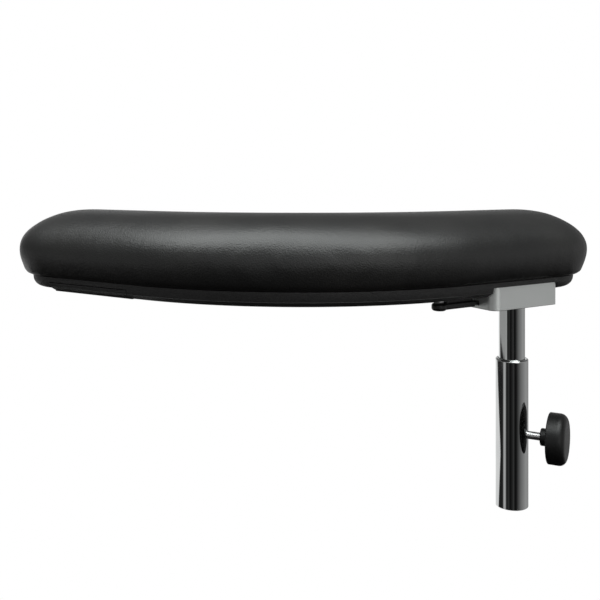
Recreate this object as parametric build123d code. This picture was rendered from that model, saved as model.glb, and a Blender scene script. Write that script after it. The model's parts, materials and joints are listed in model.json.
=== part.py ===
from build123d import *
import math
import os

# Padded body-support arm of a dentist's stool, on a telescopic post.
# Millimetres, +Z up. The origin is on the post's axis at the outer tube's lower end.
# The pad curves round the sitter, who is on the +Y side; the post stands under its right wing.

# ---------------------------------------------------------------- driving dimensions
# Plan of the arm: an arc with a straight wing tangent to each of its ends.
ARC_RADIUS = 188.0
ARC_HALF_ANGLE = 31.5
WING_LENGTH = 91.5
POST_ALONG_WING = 65.0
POST_OUTWARD = 14.0

# Heights of the stack, from the outer tube's lower end.
OUTER_TUBE_TOP = 113.0
BRACKET_BOTTOM = 155.4
BRACKET_TOP = 172.9
SHELL_BOTTOM = 165.6
SEAM_Z = 176.5

# Pad section, from the centreline outwards and from the seam upwards.
PAD_HALF_WIDTH = 50.0
PAD_HEIGHT = 50.9
PAD_WIDEST_Z = 20.8
UNDERCUT_RADIUS = 22.0
FLANK_ANGLE = 32.0
CROWN_SIDE_RADIUS = 16.0
SKIN = 1.2
HEM_INNER_HALF_WIDTH = 22.0
STAPLE_SPACING = 27.0

# Base board under the foam.
BOARD_HALF_WIDTH = 37.5
BOARD_THICKNESS = 9.0

# Under-shell.
SHELL_TOP_HALF_WIDTH = 39.0
SHELL_CREASE_HALF_WIDTH = 37.6
SHELL_BOTTOM_HALF_WIDTH = 31.5
SHELL_CREASE_Z = 169.6
SHELL_BULGE = 0.5
SHELL_BEAD = 0.35
SHELL_END_RISE = 1.7
SHELL_END_RADIUS = 7.5
SHELL_WALL = 3.0
SHELL_BOSS_RADIUS = 4.5
SHELL_PAD_RADIUS = 5.5
RECESS_LENGTH = 80.5
RECESS_WALL = 2.5
RIB_THICKNESS = 1.6

# Telescopic post.
OUTER_TUBE_RADIUS = 12.5
INNER_TUBE_RADIUS = 10.0
INNER_TUBE_BORE = 8.0
INNER_TUBE_BOTTOM = 44.0
INNER_TUBE_TOP = 161.5
RUNNING_GAP = 0.05
GROOVE_WIDTH = 6.2
GROOVE_DEPTH = 1.0
GROOVE_BOTTOM = 46.8
GROOVE_TOP = 97.0
RIM_OUTER_FILLET = 1.2
RIM_INNER_FILLET = 0.9
GLIDE_LENGTH = 10.0
GLIDE_FLANGE = 2.0
GLIDE_BORE_RADIUS = 5.5
HEAD_PLUG_LENGTH = 20.0
DOWEL_RADIUS = 1.5
DOWEL_X = 5.6
DOWEL_BOTTOM = 155.0
DOWEL_TOP = 166.0
DRUM_SCREW_RADIUS = 3.0
DRUM_SCREW_HEAD_RADIUS = 6.0
DRUM_SCREW_TIP = 148.0

# Clamp stud and knob. The stud points outwards and to the right.
STUD_Z = 55.3
STUD_ANGLE = -26.8
STUD_RADIUS = 2.95
STUD_INNER_END = 11.6
STUD_OUTER_END = 37.0
KNOB_RADIUS = 19.0
KNOB_HUB_RADIUS = 6.5
KNOB_HUB_START = 22.0
KNOB_BODY_START = 28.0
KNOB_BODY_END = 41.0
KNOB_DOME = 0.7
KNOB_OUTER_FILLET = 5.5
KNOB_INNER_FILLET = 0.8
KNOB_HUB_FILLET = 0.8
KNOB_INSERT_LENGTH = 14.0
KNOB_INSERT_RADIUS = 5.2
CLAMP_PAD_RADIUS = 2.8

# Bracket, in its own frame: x along the wing, -x towards the pad's middle, -y outwards.
BRACKET_INNER_END = -40.6
BRACKET_OUTER_END = 23.5
BRACKET_HALF_WIDTH = 22.7
BRACKET_CORNER = 7.0
BRACKET_OUTER_CORNER = 0.8
BRACKET_FOOT_FILLET = 0.5
BRACKET_BEVEL_ALONG = 2.0
BRACKET_BEVEL_DOWN = 3.0
COVER_PLATE_THICKNESS = 2.5
COVER_PLATE_HALF_WIDTH = 19.5
COVER_PLATE_END = 19.0
COVER_PLATE_CORNER = 2.5
COVER_PLATE_GAP = 0.2
BRACKET_SCREW_XS = (-30.5, 16.5)
BRACKET_SCREW_Y = 14.0
BRACKET_SCREW_RADIUS = 2.5
BRACKET_SCREW_HEAD_RADIUS = 4.9
BRACKET_SCREW_SINK = 0.3
BRACKET_SCREW_HOLE_RADIUS = 2.75
T_NUT_BARREL_RADIUS = 3.3
T_NUT_FLANGE_RADIUS = 7.4
T_NUT_FLANGE = 1.2
PLATE_SCREW_PLACES = ((-20.0, 15.5), (-20.0, -15.5), (9.0, 16.5), (9.0, -16.5))
PLATE_SCREW_RADIUS = 1.5
PLATE_SCREW_HEAD_RADIUS = 3.0
PLATE_SCREW_LENGTH = 9.0
BUSH_RADIUS = 12.0
BUSH_FLANGE_RADIUS = 13.4
BUSH_FLANGE = 0.8
WASHER_RADIUS = 13.0
WASHER_BORE_RADIUS = 6.5

# Swivel brake: a smooth drum on the post, and a shoe that a lever draws off it.
DRUM_RADIUS = 14.0
DRUM_TOP = 168.6
POCKET_RADIUS = 14.6
POCKET_FLOOR = 160.3
LINING_GAP = 0.3
LINING_THICKNESS = 2.5
LINING_BOTTOM = 163.0
LINING_TOP = 168.4
SHOE_HALF_WIDTH = 8.8
SHOE_TAIL = -35.7
SHOE_FRONT = -10.0
SHOE_BOTTOM = 162.9
SHOE_TOP = 169.9
CHANNEL_HALF_WIDTH = 9.4
CHANNEL_END = -37.0
CHANNEL_FLOOR = 162.4
LEVER_BAY_END = -22.0
LEVER_BAY_GAP = 0.2
LEVER_MOUTH_Y = (-6.8, 4.8)
LEVER_MOUTH_TOP = 161.2
SPRING_Y = -6.0
SPRING_Z = 166.4
SPRING_BORE_RADIUS = 2.2
SPRING_SEAT_X = -24.0
SPRING_RADIUS = 1.6
SPRING_WIRE_RADIUS = 0.3
SPRING_TURNS = 8

# Release lever.
LEVER_PIVOT_X = -31.0
LEVER_CRANK_Y = 5.5
LEVER_BOTTOM = 158.0
LEVER_THICKNESS = 2.2
LEVER_HALF_WIDTH = 4.0
LEVER_BAR_END = -76.3
LEVER_BOSS_RADIUS = 5.6
LEVER_PIN_RADIUS = 2.5
CRANK_LOBE_RADIUS = 3.0
CRANK_PIN_RADIUS = 1.5
GRIP_START = -43.0
GRIP_HALF_WIDTH = 5.0
GRIP_BOTTOM = 156.8
GRIP_TOP = 161.2
GRIP_TIP_X = -73.3
GRIP_TIP_RADIUS = 5.6
GRIP_TIP_BOTTOM = 156.0
GRIP_TIP_TOP = 161.6
GRIP_FILLET = 1.2
GRIP_RIB_END = -66.0
GRIP_RIB_HALF_WIDTH = 2.5
GRIP_RIB_TOP = 165.2
GRIP_TIP_FILLET = 2.2

# Screws: the hexagon drive, as shares of the shank's radius.
HEX_DRIVE_SHARE = 0.58
HEX_DRIVE_DEPTH_SHARE = 0.9

# Screws of the shell and the blank cover, and the cover's staples.
SHELL_SCREW_RADIUS = 1.75
SHELL_SCREW_HEAD_RADIUS = 3.6
SHELL_SCREW_SHARES = (-0.86, -0.29, 0.29, 0.86)
SHELL_SCREW_PAST_WING = 12.0
BLANK_SCREW_XS = (-42.0, 8.0)
FILLER_SCREW_X = -49.0
FILLER_GAP = 0.1
FILLER_BRACKET_GAP = 2.8
BLANK_PROTRUSION = 0.4
BLANK_GAP = 0.6
BLANK_TOP_GAP = 0.6
BLANK_WALL = 1.5
BLANK_END_WALL = 2.5
STAPLE_WIDTH = 9.0
STAPLE_WIRE = 0.8
STAPLE_LEG = 5.0
HEM_STAPLE_OFFSET = 28.0
RECESS_GAP = 0.4
RECESS_SIDE_GAP = 0.5
BEYOND = 60.0

# ---------------------------------------------------------------- worked-out places
HALF_ANGLE = math.radians(ARC_HALF_ANGLE)
ALONG = Vector(math.cos(HALF_ANGLE), math.sin(HALF_ANGLE))
OUTWARD = Vector(math.sin(HALF_ANGLE), -math.cos(HALF_ANGLE))
UP = Vector(0, 0, 1)
ARC_CENTRE = Vector(0, ARC_RADIUS)
ARC_END = ARC_CENTRE + OUTWARD * ARC_RADIUS
WING_END = ARC_END + ALONG * WING_LENGTH
POST_IN_ARM = ARC_END + ALONG * POST_ALONG_WING + OUTWARD * POST_OUTWARD
ARM_PLACE = Location(-POST_IN_ARM)
BRACKET_PLACE = Location((0, 0, 0), (0, 0, ARC_HALF_ANGLE))
SYMMETRY_PLANE = Plane(origin=(-POST_IN_ARM.X, 0, 0), z_dir=(1, 0, 0))
STUD_DIRECTION = Vector(1, 0, 0).rotate(Axis.Z, STUD_ANGLE)
STUD_PLANE = Plane(origin=(0, 0, STUD_Z), x_dir=(0, 0, 1), z_dir=STUD_DIRECTION)
ARC_LENGTH = ARC_RADIUS * HALF_ANGLE
BOARD_BOTTOM = SEAM_Z + SKIN
BOARD_TOP = BOARD_BOTTOM + BOARD_THICKNESS
COVER_PLATE_BOTTOM = BRACKET_TOP - COVER_PLATE_THICKNESS
CLAMP_PAD_START = INNER_TUBE_RADIUS - GROOVE_DEPTH + RUNNING_GAP
T_NUT_TOP = BOARD_TOP + T_NUT_FLANGE
BLANK_BOTTOM = SHELL_BOTTOM - BLANK_PROTRUSION
RECESS_END = BRACKET_OUTER_END + RECESS_GAP
RECESS_START = RECESS_END - RECESS_LENGTH
PAST_RECESS = WING_LENGTH - POST_ALONG_WING - RECESS_END
BRACKET_SCREWS = [(x, y) for x in BRACKET_SCREW_XS for y in (-BRACKET_SCREW_Y, BRACKET_SCREW_Y)]


# ---------------------------------------------------------------- helpers
def span_cylinder(radius, bottom, top, x=0.0, y=0.0):
    """Upright cylinder between two heights."""
    return Pos(x, y, (bottom + top) / 2) * Cylinder(radius, top - bottom)


def span_cone(bottom_radius, top_radius, bottom, top, x=0.0, y=0.0):
    """Upright cone between two heights."""
    return Pos(x, y, (bottom + top) / 2) * Cone(bottom_radius, top_radius, top - bottom)


def span_box(x_span, y_span, z_span):
    """Box between two corners."""
    sizes = [high - low for low, high in (x_span, y_span, z_span)]
    middle = [(high + low) / 2 for low, high in (x_span, y_span, z_span)]
    return Pos(*middle) * Box(*sizes)


def ring(outer_radius, inner_radius, bottom, top):
    """Upright tube between two heights."""
    return span_cylinder(outer_radius, bottom, top) - span_cylinder(inner_radius, bottom, top)


def countersunk_screw(radius, head_radius, head_z, tip_z, x, y):
    """Screw whose flat head is at head_z and whose shank runs up or down to tip_z."""
    direction = 1 if tip_z > head_z else -1
    neck_z = head_z + direction * (head_radius - radius)
    if direction > 0:
        head = span_cone(head_radius, radius, head_z, neck_z, x, y)
    else:
        head = span_cone(radius, head_radius, neck_z, head_z, x, y)
    hexagon = RegularPolygon(HEX_DRIVE_SHARE * radius, 6)
    drive = Pos(x, y, head_z) * extrude(hexagon, direction * HEX_DRIVE_DEPTH_SHARE * radius)
    shank = span_cylinder(radius, min(neck_z, tip_z), max(neck_z, tip_z), x, y)
    return head + shank - drive


def arm_body(half_section, end_section=None, end_straight=0.0):
    """Carry a half section (x outwards, y up) along the arc, the wings and round both ends.

    An end section takes over for the last straight stretch of each wing and its round end.
    """
    if end_section is None:
        end_section = half_section
    at_arc_end = Plane(origin=ARC_END, x_dir=OUTWARD, z_dir=-ALONG)
    at_wing_end = Plane(origin=WING_END, x_dir=OUTWARD, z_dir=-ALONG)
    at_change = Plane(origin=WING_END - ALONG * end_straight, x_dir=OUTWARD, z_dir=-ALONG)
    arc = revolve(at_arc_end * both_halves(half_section), Axis(ARC_CENTRE, UP), -2 * ARC_HALF_ANGLE)
    right = extrude(at_change * both_halves(half_section), WING_LENGTH - end_straight)
    right += revolve(at_wing_end * end_section, Axis(WING_END, UP), 180)
    if end_straight > 0:
        right += extrude(at_wing_end * both_halves(end_section), end_straight)
    return ARM_PLACE * (arc + right + mirror(right, about=Plane.YZ))


def both_halves(half_section):
    return half_section + mirror(half_section, about=Plane.YZ)


def band_section(half_width, bottom, top):
    """Half section of a flat band."""
    return Pos(half_width / 2, (bottom + top) / 2) * Rectangle(half_width, top - bottom)


def on_circle(centre, radius, degrees):
    """Point on a circle in a section plane."""
    angle = math.radians(degrees)
    return (centre[0] + radius * math.cos(angle), centre[1] + radius * math.sin(angle))


def crown_top_radius():
    """Radius of the crown's top arc, which meets the side arc smoothly and reaches the pad's height."""
    side_centre = PAD_HALF_WIDTH - CROWN_SIDE_RADIUS
    rise = PAD_HEIGHT - PAD_WIDEST_Z
    return (side_centre**2 + rise**2 - CROWN_SIDE_RADIUS**2) / (2 * (rise - CROWN_SIDE_RADIUS))


def pad_section(inset):
    """Half section of the pad, drawn in from its outer surface by inset."""
    top_radius = crown_top_radius()
    undercut = (PAD_HALF_WIDTH - UNDERCUT_RADIUS, SEAM_Z + PAD_WIDEST_Z)
    side = (PAD_HALF_WIDTH - CROWN_SIDE_RADIUS, SEAM_Z + PAD_WIDEST_Z)
    top = (0.0, SEAM_Z + PAD_HEIGHT - top_radius)
    turn = math.degrees(math.atan2(side[1] - top[1], side[0] - top[0]))
    flank_top = on_circle(undercut, UNDERCUT_RADIUS - inset, -FLANK_ANGLE)
    foot_z = SEAM_Z + inset
    foot_x = flank_top[0] - (flank_top[1] - foot_z) * math.tan(math.radians(FLANK_ANGLE))
    widest = (PAD_HALF_WIDTH - inset, undercut[1])
    shoulder = on_circle(top, top_radius - inset, turn)
    crest = (0.0, SEAM_Z + PAD_HEIGHT - inset)
    edges = [
        Line((0.0, foot_z), (foot_x, foot_z)),
        Line((foot_x, foot_z), flank_top),
        ThreePointArc(flank_top, on_circle(undercut, UNDERCUT_RADIUS - inset, -FLANK_ANGLE / 2), widest),
        ThreePointArc(widest, on_circle(side, CROWN_SIDE_RADIUS - inset, turn / 2), shoulder),
        ThreePointArc(shoulder, on_circle(top, top_radius - inset, (turn + 90) / 2), crest),
        Line(crest, (0.0, foot_z)),
    ]
    return make_face(edges)


def arm_point(along, offset):
    """Place on the arm at a distance along its centreline, and its turn about Z."""
    side = -1 if along < 0 else 1
    distance = abs(along)
    if distance <= ARC_LENGTH:
        turn = distance / ARC_RADIUS
        spot = ARC_CENTRE + Vector(math.sin(turn), -math.cos(turn)) * (ARC_RADIUS + offset)
    else:
        turn = HALF_ANGLE
        spot = ARC_END + ALONG * (distance - ARC_LENGTH) + OUTWARD * offset
    return ARM_PLACE * Location((side * spot.X, spot.Y, 0), (0, 0, side * math.degrees(turn)))


def shell_screw_places():
    """Places of the shell's screws and the shell's underside there: four along the arc, one in each end."""
    places = []
    for share in SHELL_SCREW_SHARES:
        places.append((arm_point(ARC_LENGTH * share, 0).position, SHELL_BOTTOM))
    for side in (-1, 1):
        spot = arm_point(side * (ARC_LENGTH + WING_LENGTH + SHELL_SCREW_PAST_WING), 0).position
        places.append((spot, SHELL_BOTTOM + SHELL_END_RISE))
    return places


# ---------------------------------------------------------------- telescopic post
def make_outer_tube():
    tube = ring(OUTER_TUBE_RADIUS, INNER_TUBE_RADIUS + RUNNING_GAP, 0, OUTER_TUBE_TOP)
    top_edges = tube.edges().filter_by(GeomType.CIRCLE).group_by(Axis.Z)[-1].sort_by(SortBy.RADIUS)
    tube = fillet(top_edges[-1], RIM_OUTER_FILLET)
    lip = tube.edges().filter_by(GeomType.CIRCLE).group_by(Axis.Z)[-1].sort_by(SortBy.RADIUS)
    tube = fillet(lip[0], RIM_INNER_FILLET)
    stud_hole = span_cylinder(STUD_RADIUS + RUNNING_GAP, OUTER_TUBE_RADIUS / 2, 2 * OUTER_TUBE_RADIUS)
    return tube - STUD_PLANE * stud_hole


def make_inner_tube():
    tube = ring(INNER_TUBE_RADIUS, INNER_TUBE_BORE, INNER_TUBE_BOTTOM, INNER_TUBE_TOP)
    slot = SlotOverall(GROOVE_TOP - GROOVE_BOTTOM, GROOVE_WIDTH)
    middle = (GROOVE_TOP + GROOVE_BOTTOM) / 2 - STUD_Z
    groove = extrude(Pos(middle, 0, INNER_TUBE_RADIUS - GROOVE_DEPTH) * slot, 2 * GROOVE_DEPTH)
    return tube - STUD_PLANE * groove


def make_inner_tube_glide():
    top = INNER_TUBE_BOTTOM + GLIDE_LENGTH
    foot = INNER_TUBE_BOTTOM - GLIDE_FLANGE
    spigot = span_cylinder(INNER_TUBE_BORE, INNER_TUBE_BOTTOM, top)
    flange = span_cylinder(INNER_TUBE_RADIUS - 4 * RUNNING_GAP, foot, INNER_TUBE_BOTTOM)
    return spigot + flange - span_cylinder(GLIDE_BORE_RADIUS, foot, top)


def make_post_head_plug():
    plug_bottom = INNER_TUBE_TOP - HEAD_PLUG_LENGTH
    plug = span_cylinder(INNER_TUBE_BORE, plug_bottom, INNER_TUBE_TOP)
    thread = span_cylinder(DRUM_SCREW_RADIUS, plug_bottom, INNER_TUBE_TOP)
    return plug - thread - make_drum_dowel()


def make_drum_screw():
    return countersunk_screw(DRUM_SCREW_RADIUS, DRUM_SCREW_HEAD_RADIUS, DRUM_TOP, DRUM_SCREW_TIP, 0, 0)


def make_drum_dowel():
    return span_cylinder(DOWEL_RADIUS, DOWEL_BOTTOM, DOWEL_TOP, x=DOWEL_X)


def make_brake_drum():
    drum = span_cylinder(DRUM_RADIUS, INNER_TUBE_TOP, DRUM_TOP)
    drum = chamfer(drum.edges().filter_by(GeomType.CIRCLE), 0.5)
    neck_z = DRUM_TOP - DRUM_SCREW_HEAD_RADIUS + DRUM_SCREW_RADIUS
    seat = span_cone(DRUM_SCREW_RADIUS, DRUM_SCREW_HEAD_RADIUS, neck_z, DRUM_TOP)
    hole = span_cylinder(DRUM_SCREW_RADIUS, INNER_TUBE_TOP, neck_z)
    return drum - seat - hole - make_drum_dowel()


# ---------------------------------------------------------------- clamp knob
def make_clamp_pad():
    pad = span_cylinder(CLAMP_PAD_RADIUS, CLAMP_PAD_START, STUD_INNER_END)
    return STUD_PLANE * pad


def make_clamp_stud():
    return STUD_PLANE * span_cylinder(STUD_RADIUS, STUD_INNER_END, STUD_OUTER_END)


def make_knob_insert():
    start = STUD_OUTER_END - KNOB_INSERT_LENGTH
    hexagon = Pos(0, 0, start) * extrude(RegularPolygon(KNOB_INSERT_RADIUS, 6), KNOB_INSERT_LENGTH)
    return STUD_PLANE * (hexagon - span_cylinder(STUD_RADIUS, start, STUD_OUTER_END))


def make_knob_body():
    edge = KNOB_BODY_END
    outline = Polyline(
        (0, KNOB_HUB_START),
        (KNOB_HUB_RADIUS, KNOB_HUB_START),
        (KNOB_HUB_RADIUS, KNOB_BODY_START),
        (KNOB_RADIUS, KNOB_BODY_START),
        (KNOB_RADIUS, edge),
    )
    crown = (0, edge + KNOB_DOME)
    dome = ThreePointArc((KNOB_RADIUS, edge), (KNOB_RADIUS / 2, edge + KNOB_DOME * 0.75), crown)
    axis_line = Line(crown, (0, KNOB_HUB_START))
    section = Plane.XZ * make_face([*outline.edges(), dome, axis_line])
    knob = revolve(section, Axis.Z)
    knob = fillet(knob_rims(knob)[-1], KNOB_OUTER_FILLET)
    knob = fillet(knob_rims(knob)[0], KNOB_INNER_FILLET)
    knob = fillet(knob.edges().filter_by(GeomType.CIRCLE).sort_by(Axis.Z)[0], KNOB_HUB_FILLET)
    shank = span_cylinder(STUD_RADIUS, KNOB_HUB_START, STUD_OUTER_END)
    return STUD_PLANE * (knob - shank) - make_knob_insert()


def knob_rims(knob):
    """The knob's full-width circular edges, from its tube side outwards."""
    circles = knob.edges().filter_by(GeomType.CIRCLE).sort_by(Axis.Z)
    return [circle for circle in circles if math.isclose(circle.radius, KNOB_RADIUS, abs_tol=0.01)]


# ---------------------------------------------------------------- bracket and swivel brake
def make_bracket_housing():
    housing = span_box(
        (BRACKET_INNER_END, BRACKET_OUTER_END),
        (-BRACKET_HALF_WIDTH, BRACKET_HALF_WIDTH),
        (BRACKET_BOTTOM, BRACKET_TOP),
    )
    uprights = housing.edges().filter_by(Axis.Z).group_by(Axis.X)
    housing = fillet(uprights[0], BRACKET_CORNER)
    housing = fillet(housing.edges().filter_by(Axis.Z).group_by(Axis.X)[-1], BRACKET_OUTER_CORNER)
    housing = fillet(housing.faces().sort_by(Axis.Z)[0].edges(), BRACKET_FOOT_FILLET)
    housing -= bracket_bevel()
    housing -= cover_plate_block(COVER_PLATE_BOTTOM, 0.0)
    housing -= brake_room()
    housing -= span_cylinder(BUSH_RADIUS, BRACKET_BOTTOM, POCKET_FLOOR)
    housing -= span_cylinder(LEVER_PIN_RADIUS, BRACKET_BOTTOM, BRACKET_TOP, x=LEVER_PIVOT_X)
    seat_radius = BRACKET_SCREW_HEAD_RADIUS + BRACKET_SCREW_SINK
    seat_top = BRACKET_BOTTOM + seat_radius - BRACKET_SCREW_RADIUS
    for x, y in BRACKET_SCREWS:
        housing -= span_cylinder(BRACKET_SCREW_HOLE_RADIUS, BRACKET_BOTTOM, BRACKET_TOP, x, y)
        housing -= span_cone(seat_radius, BRACKET_SCREW_RADIUS, BRACKET_BOTTOM, seat_top, x, y)
    for x, y in PLATE_SCREW_PLACES:
        housing -= span_cylinder(PLATE_SCREW_RADIUS, BRACKET_TOP - PLATE_SCREW_LENGTH, BRACKET_TOP, x, y)
    return BRACKET_PLACE * housing


def bracket_bevel():
    """Wedge cut off the bracket's inner top edge."""
    outline = Polyline(
        (BRACKET_INNER_END, BRACKET_TOP),
        (BRACKET_INNER_END + BRACKET_BEVEL_ALONG, BRACKET_TOP),
        (BRACKET_INNER_END, BRACKET_TOP - BRACKET_BEVEL_DOWN),
        close=True,
    )
    return extrude(Plane.XZ * make_face(outline.edges()), BRACKET_HALF_WIDTH, both=True)


def brake_room():
    """Room in the bracket for the drum, the shoe and the lever, with the lever's mouth in the inner end."""
    channel_y = (-CHANNEL_HALF_WIDTH, CHANNEL_HALF_WIDTH)
    lever_floor = LEVER_BOTTOM - LEVER_BAY_GAP
    pocket = span_cylinder(POCKET_RADIUS, POCKET_FLOOR, BRACKET_TOP)
    channel = span_box((CHANNEL_END, 0), channel_y, (CHANNEL_FLOOR, BRACKET_TOP))
    bay = span_box((CHANNEL_END, LEVER_BAY_END), channel_y, (lever_floor, CHANNEL_FLOOR + LEVER_BAY_GAP))
    mouth = span_box((BRACKET_INNER_END - 1, CHANNEL_END + 1), LEVER_MOUTH_Y, (lever_floor, LEVER_MOUTH_TOP))
    return pocket + channel + bay + mouth


def cover_plate_block(bottom, gap):
    """The rebate that the cover plate fills, or the plate itself when gap is above zero."""
    block = span_box(
        (CHANNEL_END + gap, COVER_PLATE_END - gap),
        (-COVER_PLATE_HALF_WIDTH + gap, COVER_PLATE_HALF_WIDTH - gap),
        (bottom, BRACKET_TOP),
    )
    return fillet(block.edges().filter_by(Axis.Z), COVER_PLATE_CORNER)


def make_bracket_cover_plate():
    plate = cover_plate_block(COVER_PLATE_BOTTOM, COVER_PLATE_GAP)
    plate -= span_cylinder(LEVER_PIN_RADIUS, COVER_PLATE_BOTTOM, BRACKET_TOP, x=LEVER_PIVOT_X)
    for x, y in BRACKET_SCREWS:
        plate -= span_cylinder(BRACKET_SCREW_HOLE_RADIUS, COVER_PLATE_BOTTOM, BRACKET_TOP, x, y)
    for x, y in PLATE_SCREW_PLACES:
        plate -= countersunk_hole(x, y)
    return BRACKET_PLACE * plate


def countersunk_hole(x, y):
    """Seat of one cover-plate screw."""
    hole = span_cylinder(PLATE_SCREW_RADIUS, COVER_PLATE_BOTTOM, BRACKET_TOP, x, y)
    neck_z = BRACKET_TOP - PLATE_SCREW_HEAD_RADIUS + PLATE_SCREW_RADIUS
    return hole + span_cone(PLATE_SCREW_RADIUS, PLATE_SCREW_HEAD_RADIUS, neck_z, BRACKET_TOP, x, y)


def make_cover_plate_screws():
    sizes = (PLATE_SCREW_RADIUS, PLATE_SCREW_HEAD_RADIUS, BRACKET_TOP, BRACKET_TOP - PLATE_SCREW_LENGTH)
    return BRACKET_PLACE * Compound([countersunk_screw(*sizes, x, y) for x, y in PLATE_SCREW_PLACES])


def make_bracket_screws():
    head_z = BRACKET_BOTTOM + BRACKET_SCREW_SINK
    sizes = (BRACKET_SCREW_RADIUS, BRACKET_SCREW_HEAD_RADIUS, head_z, BOARD_TOP - 1)
    return BRACKET_PLACE * Compound([countersunk_screw(*sizes, x, y) for x, y in BRACKET_SCREWS])


def t_nut(x, y):
    """Pronged nut let into the board from above."""
    barrel = span_cylinder(T_NUT_BARREL_RADIUS, BOARD_BOTTOM, BOARD_TOP, x, y)
    thread = span_cylinder(BRACKET_SCREW_RADIUS, BOARD_BOTTOM, T_NUT_TOP, x, y)
    return barrel + t_nut_flange(x, y) - thread


def t_nut_flange(x, y):
    return span_cylinder(T_NUT_FLANGE_RADIUS, BOARD_TOP, T_NUT_TOP, x, y)


def make_t_nuts():
    return BRACKET_PLACE * Compound([t_nut(x, y) for x, y in BRACKET_SCREWS])


def make_bracket_bush():
    bore = INNER_TUBE_RADIUS + RUNNING_GAP
    sleeve = ring(BUSH_RADIUS, bore, BRACKET_BOTTOM + 0.2, POCKET_FLOOR)
    return sleeve + ring(BUSH_FLANGE_RADIUS, bore, POCKET_FLOOR, POCKET_FLOOR + BUSH_FLANGE)


def make_thrust_washer():
    return ring(WASHER_RADIUS, WASHER_BORE_RADIUS, DRUM_TOP, COVER_PLATE_BOTTOM)


def make_brake_lining():
    inner = DRUM_RADIUS + LINING_GAP
    lining = ring(inner + LINING_THICKNESS, inner, LINING_BOTTOM, LINING_TOP)
    facing = span_box((-2 * DRUM_RADIUS, 0), (-SHOE_HALF_WIDTH, SHOE_HALF_WIDTH), (LINING_BOTTOM, LINING_TOP))
    return BRACKET_PLACE * (lining & facing)


def make_brake_shoe():
    back_radius = DRUM_RADIUS + LINING_GAP + LINING_THICKNESS
    shoe = span_box((SHOE_TAIL, SHOE_FRONT), (-SHOE_HALF_WIDTH, SHOE_HALF_WIDTH), (SHOE_BOTTOM, SHOE_TOP))
    shoe -= span_cylinder(back_radius, SHOE_BOTTOM, SHOE_TOP)
    depth = SHOE_TOP - SHOE_BOTTOM
    pin_slot = Pos(LEVER_PIVOT_X + 0.5, 0, SHOE_BOTTOM) * SlotCenterToCenter(1.4, 2 * LEVER_PIN_RADIUS + 1)
    crank_slot = Rot(0, 0, 90) * SlotCenterToCenter(0.4, 2 * CRANK_PIN_RADIUS + 2 * RUNNING_GAP)
    crank_slot = Pos(LEVER_PIVOT_X, LEVER_CRANK_Y, SHOE_BOTTOM) * crank_slot
    bore_length = SPRING_SEAT_X - SHOE_TAIL
    spring_bore = Rot(0, 90, 0) * Cylinder(SPRING_BORE_RADIUS, bore_length)
    spring_bore = Pos(SHOE_TAIL + bore_length / 2, SPRING_Y, SPRING_Z) * spring_bore
    return BRACKET_PLACE * (shoe - extrude(pin_slot, depth) - extrude(crank_slot, depth) - spring_bore)


def make_brake_spring():
    """Compression spring between the channel's end wall and the shoe."""
    length = SPRING_SEAT_X - CHANNEL_END - 2 * SPRING_WIRE_RADIUS
    coil = Helix(pitch=length / SPRING_TURNS, height=length, radius=SPRING_RADIUS)
    spring = sweep(Plane(origin=coil @ 0, z_dir=coil % 0) * Circle(SPRING_WIRE_RADIUS), path=coil)
    start = Pos(CHANNEL_END + SPRING_WIRE_RADIUS, SPRING_Y, SPRING_Z)
    return BRACKET_PLACE * start * Rot(0, 90, 0) * spring


# ---------------------------------------------------------------- release lever
def make_lever_arm():
    top = LEVER_BOTTOM + LEVER_THICKNESS
    boss = span_cylinder(LEVER_BOSS_RADIUS, LEVER_BOTTOM, top, x=LEVER_PIVOT_X)
    lobe = span_cylinder(CRANK_LOBE_RADIUS, LEVER_BOTTOM, top, x=LEVER_PIVOT_X, y=LEVER_CRANK_Y)
    web_x = (LEVER_PIVOT_X - CRANK_LOBE_RADIUS, LEVER_PIVOT_X + CRANK_LOBE_RADIUS)
    web = span_box(web_x, (0, LEVER_CRANK_Y), (LEVER_BOTTOM, top))
    bar = span_box((LEVER_BAR_END, LEVER_PIVOT_X), (-LEVER_HALF_WIDTH, LEVER_HALF_WIDTH), (LEVER_BOTTOM, top))
    arm = bar + boss + lobe + web
    arm -= span_cylinder(LEVER_PIN_RADIUS + RUNNING_GAP, LEVER_BOTTOM, top, x=LEVER_PIVOT_X)
    arm -= span_cylinder(CRANK_PIN_RADIUS, LEVER_BOTTOM, top, x=LEVER_PIVOT_X, y=LEVER_CRANK_Y)
    return BRACKET_PLACE * arm


def make_lever_pin():
    pin = span_cylinder(LEVER_PIN_RADIUS, BRACKET_BOTTOM + 0.2, BRACKET_TOP - 0.4, x=LEVER_PIVOT_X)
    return BRACKET_PLACE * pin


def make_crank_pin():
    pin = span_cylinder(CRANK_PIN_RADIUS, LEVER_BOTTOM, LINING_TOP, x=LEVER_PIVOT_X, y=LEVER_CRANK_Y)
    return BRACKET_PLACE * pin


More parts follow.
